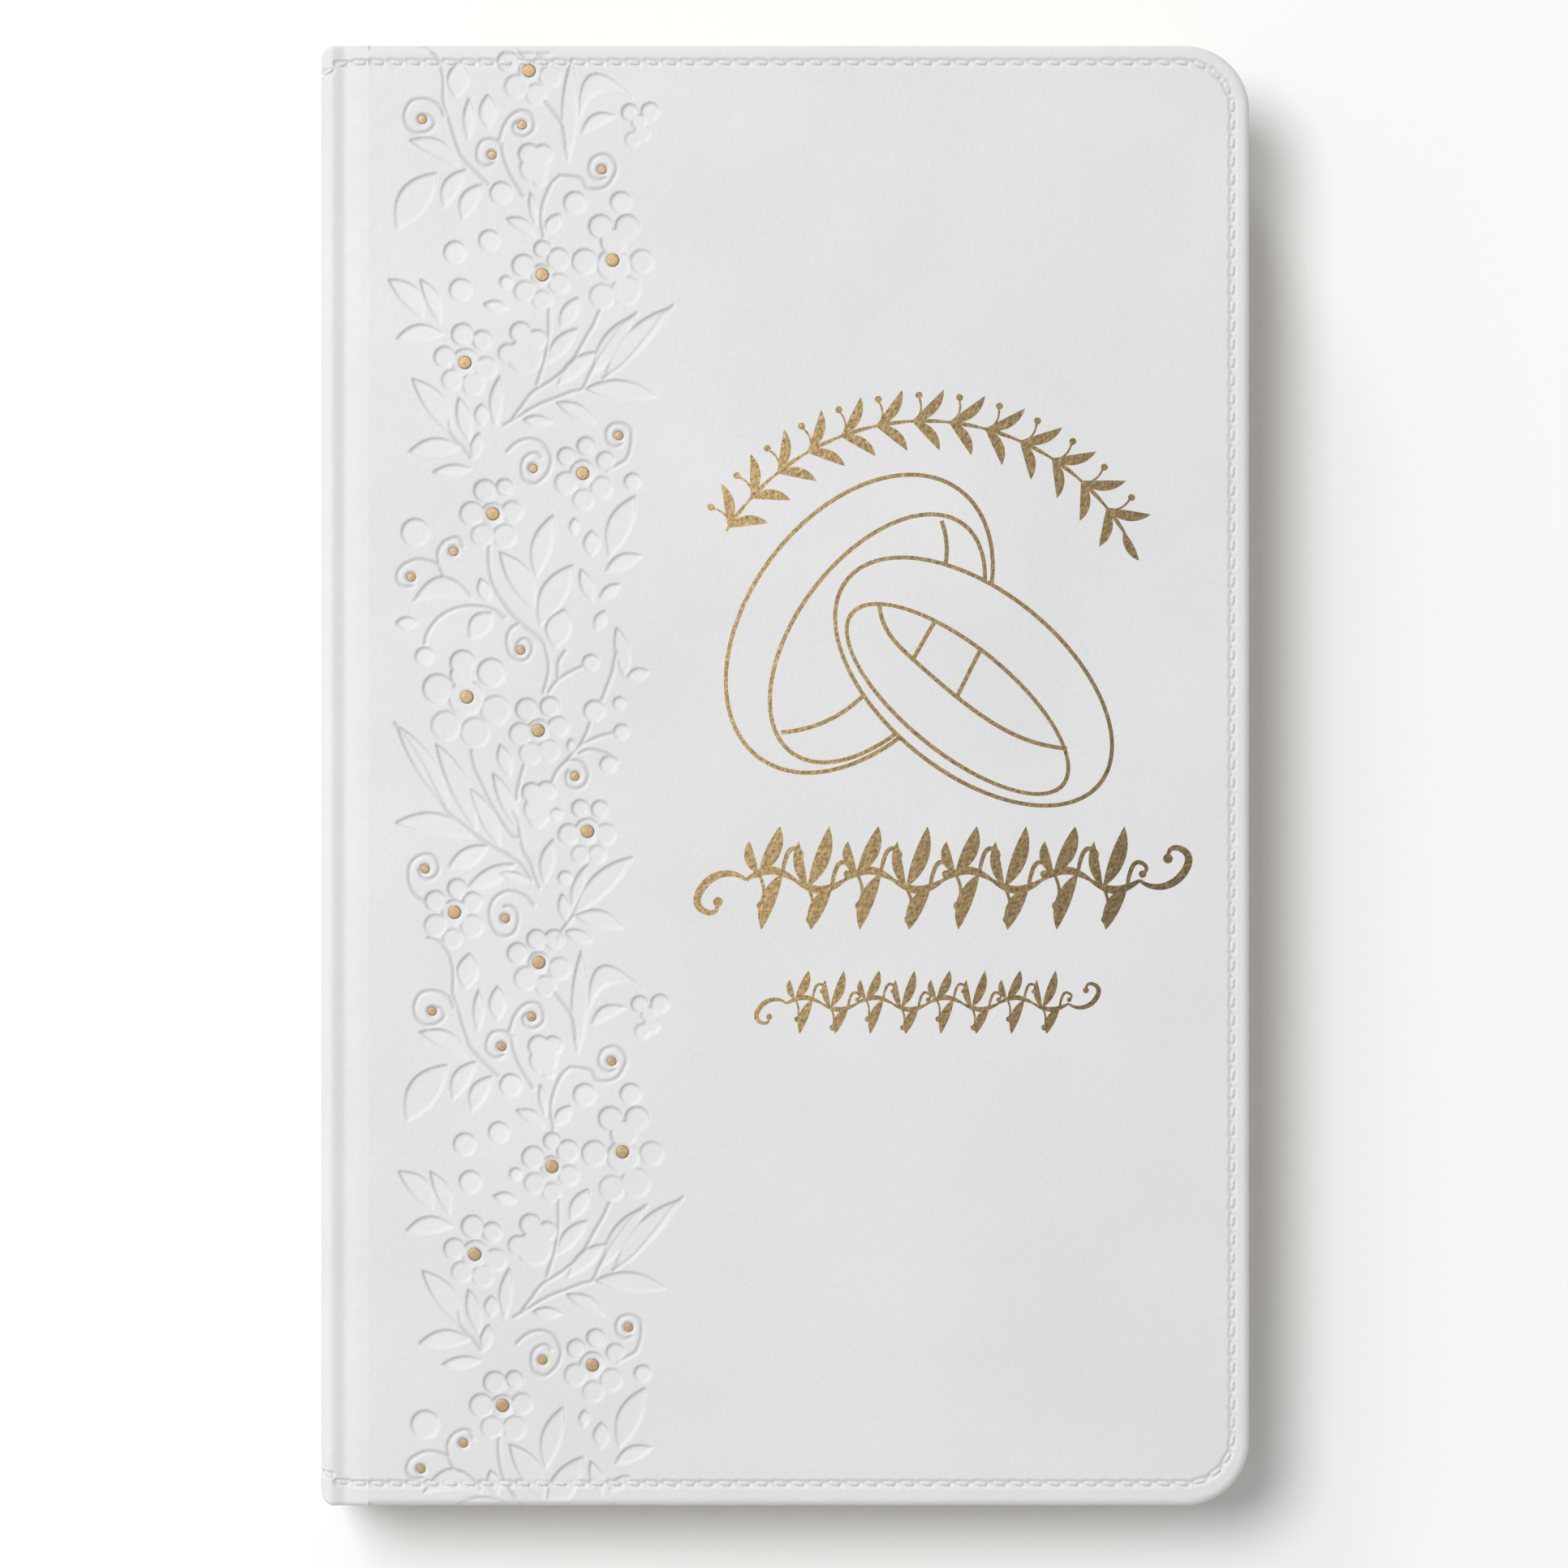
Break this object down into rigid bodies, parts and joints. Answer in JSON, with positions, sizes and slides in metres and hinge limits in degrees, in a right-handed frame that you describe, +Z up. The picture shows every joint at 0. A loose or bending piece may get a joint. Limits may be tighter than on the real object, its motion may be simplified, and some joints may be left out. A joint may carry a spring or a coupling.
{
  "type": "prayer book",
  "caption": "Case-bound prayer book: stitched white leather covers with a stamped floral band and gold foil, hinged on a sewn text block.",
  "frame": {"origin": "middle of the underside of the closed book, under the centre of its bounding box", "axes": "+X from the spine to the fore edge, +Y from the tail to the head, +Z up through the front cover"},
  "size_m": [0.1334, 0.2096, 0.0245],
  "materials": {
    "white_leather": "soft satin, fine grain",
    "cover_thread": "twisted white thread",
    "gold_foil": "stamped gold foil, mottled",
    "gilt_edged_pages": "matte paper, gilt edges",
    "page_paper": "matte",
    "endpaper": "matte",
    "binders_board": "matte",
    "band_silk": "striped silk",
    "linen_thread": "matte",
    "mull_cloth": "open weave",
    "kraft_paper": "matte"
  },
  "bodies": {
    "text_block": {"section_01": "gilt_edged_pages", "section_02": "gilt_edged_pages", "section_03": "gilt_edged_pages", "section_04": "gilt_edged_pages", "section_05": "gilt_edged_pages", "section_06": "gilt_edged_pages", "section_07": "gilt_edged_pages", "section_08": "gilt_edged_pages", "section_09": "gilt_edged_pages", "section_10": "gilt_edged_pages", "sewing_thread": "linen_thread", "spine_mull": "mull_cloth", "spine_liner": "kraft_paper", "head_band": "band_silk", "tail_band": "band_silk", "spine_inlay": "binders_board", "spine_leather": "white_leather", "spine_stitching": "cover_thread", "front_joint_leather": "white_leather", "front_joint_stitching": "cover_thread", "back_joint_leather": "white_leather", "back_joint_stitching": "cover_thread"},
    "front_cover": {"front_cover_leather": "white_leather", "front_board": "binders_board", "front_infill": "binders_board", "front_pastedown": "endpaper", "front_stitching": "cover_thread", "front_inner_stitching": "cover_thread", "foil_rings": "gold_foil", "foil_arched_sprig": "gold_foil", "foil_large_scroll": "gold_foil", "foil_small_scroll": "gold_foil", "foil_flower_dots": "gold_foil"},
    "back_cover": {"back_cover_leather": "white_leather", "back_board": "binders_board", "back_infill": "binders_board", "back_pastedown": "endpaper", "back_stitching": "cover_thread", "back_inner_stitching": "cover_thread"},
    "front_flyleaf": {"front_flyleaf": "page_paper"},
    "presentation_leaf": {"presentation_leaf": "page_paper"},
    "title_leaf": {"title_leaf": "page_paper"},
    "back_flyleaf": {"back_flyleaf": "page_paper"}
  },
  "joints": [
    {"name": "front_cover_hinge", "type": "hinge", "parent": "text_block", "child": "front_cover", "pos_m": [-0.0649, 0, 0.02268], "axis": [0, -1, 0], "range_deg": [0, 178], "deforming": ["front_joint_leather", "front_joint_stitching"]},
    {"name": "back_cover_hinge", "type": "hinge", "parent": "text_block", "child": "back_cover", "pos_m": [-0.0649, 0, 0.0018], "axis": [0, 1, 0], "range_deg": [0, 170], "deforming": ["back_joint_leather", "back_joint_stitching"]},
    {"name": "front_flyleaf_turn", "type": "hinge", "parent": "text_block", "child": "front_flyleaf", "pos_m": [-0.0649, 0, 0.02268], "axis": [0, -1, 0], "range_deg": [0, 166]},
    {"name": "presentation_leaf_turn", "type": "hinge", "parent": "text_block", "child": "presentation_leaf", "pos_m": [-0.0649, 0, 0.02268], "axis": [0, -1, 0], "range_deg": [0, 29]},
    {"name": "title_leaf_turn", "type": "hinge", "parent": "text_block", "child": "title_leaf", "pos_m": [-0.0649, 0, 0.02268], "axis": [0, -1, 0], "range_deg": [0, 11]},
    {"name": "back_flyleaf_turn", "type": "hinge", "parent": "text_block", "child": "back_flyleaf", "pos_m": [-0.0649, 0, 0.0018], "axis": [0, 1, 0], "range_deg": [0, 103]}
  ],
  "couplings": [
    {"joint": "front_flyleaf_turn", "follows": "front_cover_hinge", "ratio": 0.93},
    {"joint": "presentation_leaf_turn", "follows": "front_cover_hinge", "ratio": 0.16},
    {"joint": "title_leaf_turn", "follows": "front_cover_hinge", "ratio": 0.06},
    {"joint": "back_flyleaf_turn", "follows": "back_cover_hinge", "ratio": 0.6}
  ]
}
